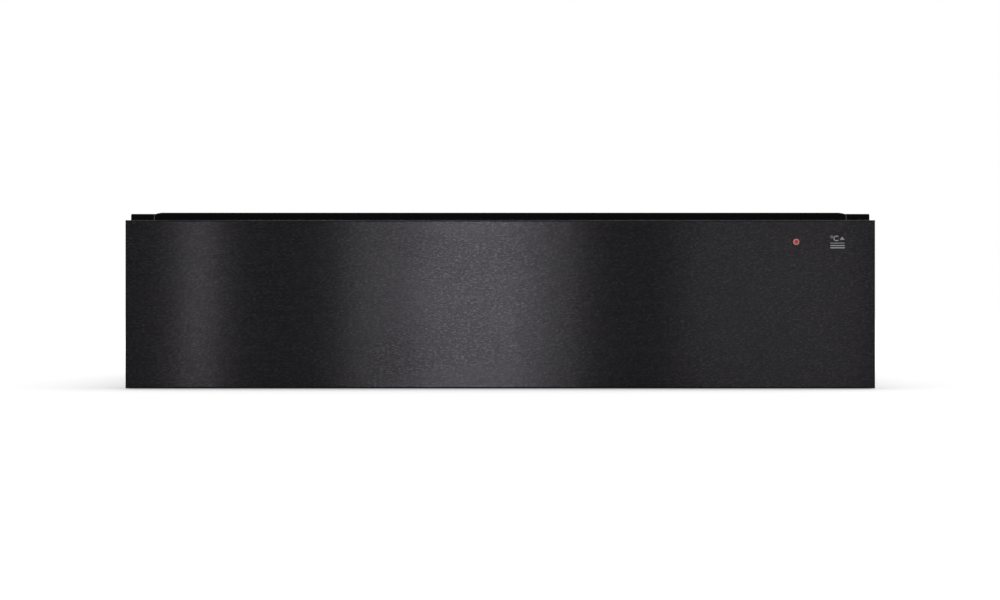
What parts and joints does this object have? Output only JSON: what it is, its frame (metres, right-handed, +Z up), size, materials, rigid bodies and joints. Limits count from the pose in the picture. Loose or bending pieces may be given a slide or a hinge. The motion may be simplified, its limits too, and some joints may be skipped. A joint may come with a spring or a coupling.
{
  "type": "built-in warming drawer",
  "caption": "Low built-in kitchen drawer appliance: black brushed steel front with pilot lamp, push-to-open drawer on telescopic runners, fan and heater behind a louvred wall.",
  "frame": {"origin": "centre of the bounding box in plan, at its lowest plane", "axes": "+X to the right seen from the front, +Y to the rear (the front face looks along -Y), +Z up"},
  "size_m": [0.597, 0.57, 0.141],
  "materials": {
    "black_brushed_steel": "brushed",
    "black_coat": "matte",
    "galvanised_sheet": "satin",
    "stainless_sheet": "brushed",
    "zinc_plated_steel": "satin",
    "board_core": "matte",
    "black_rubber": "matte",
    "silicone_mat": "matte",
    "black_plastic": "matte",
    "knob_plastic": "satin",
    "rocker_plastic": "gloss",
    "red_lens": "gloss",
    "white_plastic": "matte",
    "circuit_board": "satin",
    "impeller_aluminium": "satin",
    "motor_iron": "satin",
    "coil_wrap": "satin",
    "heater_steel": "satin",
    "ceramic": "matte"
  },
  "bodies": {
    "carcass": {"base_panel": "galvanised_sheet", "side_panel_left": "black_coat", "side_panel_right": "black_coat", "back_panel": "galvanised_sheet", "top_panel": "black_coat", "front_rail": "black_coat", "runner_outer_left": "zinc_plated_steel", "runner_outer_right": "zinc_plated_steel", "latch_housing": "black_plastic", "latch_spring": "zinc_plated_steel", "terminal_box": "black_plastic", "terminal_cover": "black_plastic", "terminal_block": "white_plastic", "cable_bush": "black_plastic"},
    "runner_mid_left": {"runner_mid_left": "zinc_plated_steel"},
    "runner_mid_right": {"runner_mid_right": "zinc_plated_steel"},
    "cage_outer_left": {"cage_outer_left": "zinc_plated_steel"},
    "cage_outer_right": {"cage_outer_right": "zinc_plated_steel"},
    "cage_inner_left": {"cage_inner_left": "zinc_plated_steel"},
    "cage_inner_right": {"cage_inner_right": "zinc_plated_steel"},
    "ejector_plunger": {"latch_plunger": "white_plastic"},
    "fan": {"fan_wheel": "impeller_aluminium", "motor_rotor": "motor_iron"},
    "knob": {"temperature_knob": "knob_plastic", "selector_spindle": "zinc_plated_steel"},
    "rocker": {"power_rocker": "rocker_plastic"},
    "drawer": {"front_panel": "black_brushed_steel", "front_core": "board_core", "front_inner_plate": "galvanised_sheet", "front_buffers": "black_rubber", "front_brackets": "zinc_plated_steel", "lamp_holder": "black_plastic", "lamp_lens": "red_lens", "drawer_side_left": "stainless_sheet", "drawer_side_right": "stainless_sheet", "drawer_floor": "stainless_sheet", "anti_slip_mat": "silicone_mat", "drawer_back_wall": "stainless_sheet", "rear_cover": "stainless_sheet", "compartment_lid": "stainless_sheet", "strike_plate": "zinc_plated_steel", "control_bar": "black_plastic", "control_bar_cover": "black_plastic", "control_board": "circuit_board", "selector_body": "black_plastic", "switch_housing": "black_plastic", "fan_housing": "galvanised_sheet", "fan_bearing": "black_rubber", "motor_core": "motor_iron", "motor_coil": "coil_wrap", "motor_bridges": "zinc_plated_steel", "heater_tubes": "heater_steel", "heater_ends": "ceramic", "heater_brackets": "galvanised_sheet", "thermal_cutout": "ceramic", "temperature_sensor": "zinc_plated_steel", "runner_inner_left": "zinc_plated_steel", "runner_inner_right": "zinc_plated_steel"}
  },
  "joints": [
    {"name": "drawer_slide", "type": "slide", "parent": "carcass", "child": "drawer", "axis": [0, -1, 0], "range_m": [0, 0.43]},
    {"name": "runner_mid_left_slide", "type": "slide", "parent": "carcass", "child": "runner_mid_left", "axis": [0, -1, 0], "range_m": [0, 0.215]},
    {"name": "runner_mid_right_slide", "type": "slide", "parent": "carcass", "child": "runner_mid_right", "axis": [0, -1, 0], "range_m": [0, 0.215]},
    {"name": "cage_outer_left_slide", "type": "slide", "parent": "carcass", "child": "cage_outer_left", "axis": [0, -1, 0], "range_m": [0, 0.1075]},
    {"name": "cage_outer_right_slide", "type": "slide", "parent": "carcass", "child": "cage_outer_right", "axis": [0, -1, 0], "range_m": [0, 0.1075]},
    {"name": "cage_inner_left_slide", "type": "slide", "parent": "carcass", "child": "cage_inner_left", "axis": [0, -1, 0], "range_m": [0, 0.3225]},
    {"name": "cage_inner_right_slide", "type": "slide", "parent": "carcass", "child": "cage_inner_right", "axis": [0, -1, 0], "range_m": [0, 0.3225]},
    {"name": "fan_spin", "type": "hinge", "parent": "drawer", "child": "fan", "pos_m": [0, 0.199, 0.076], "axis": [1, 0, 0], "continuous": true},
    {"name": "knob_turn", "type": "hinge", "parent": "drawer", "child": "knob", "pos_m": [0.15, -0.24625, 0.11], "axis": [0, 0, -1], "range_deg": [0, 270]},
    {"name": "rocker_tilt", "type": "hinge", "parent": "drawer", "child": "rocker", "pos_m": [0.236, -0.24625, 0.105], "axis": [0, 1, 0], "range_deg": [0, 14]},
    {"name": "ejector_slide", "type": "slide", "parent": "carcass", "child": "ejector_plunger", "axis": [0, 1, 0], "range_m": [0, 0.003], "stiffness_N_per_m": 1200}
  ],
  "couplings": [
    {"joint": "runner_mid_left_slide", "follows": "drawer_slide", "ratio": 0.5},
    {"joint": "runner_mid_right_slide", "follows": "drawer_slide", "ratio": 0.5},
    {"joint": "cage_outer_left_slide", "follows": "drawer_slide", "ratio": 0.25},
    {"joint": "cage_outer_right_slide", "follows": "drawer_slide", "ratio": 0.25},
    {"joint": "cage_inner_left_slide", "follows": "drawer_slide", "ratio": 0.75},
    {"joint": "cage_inner_right_slide", "follows": "drawer_slide", "ratio": 0.75}
  ]
}
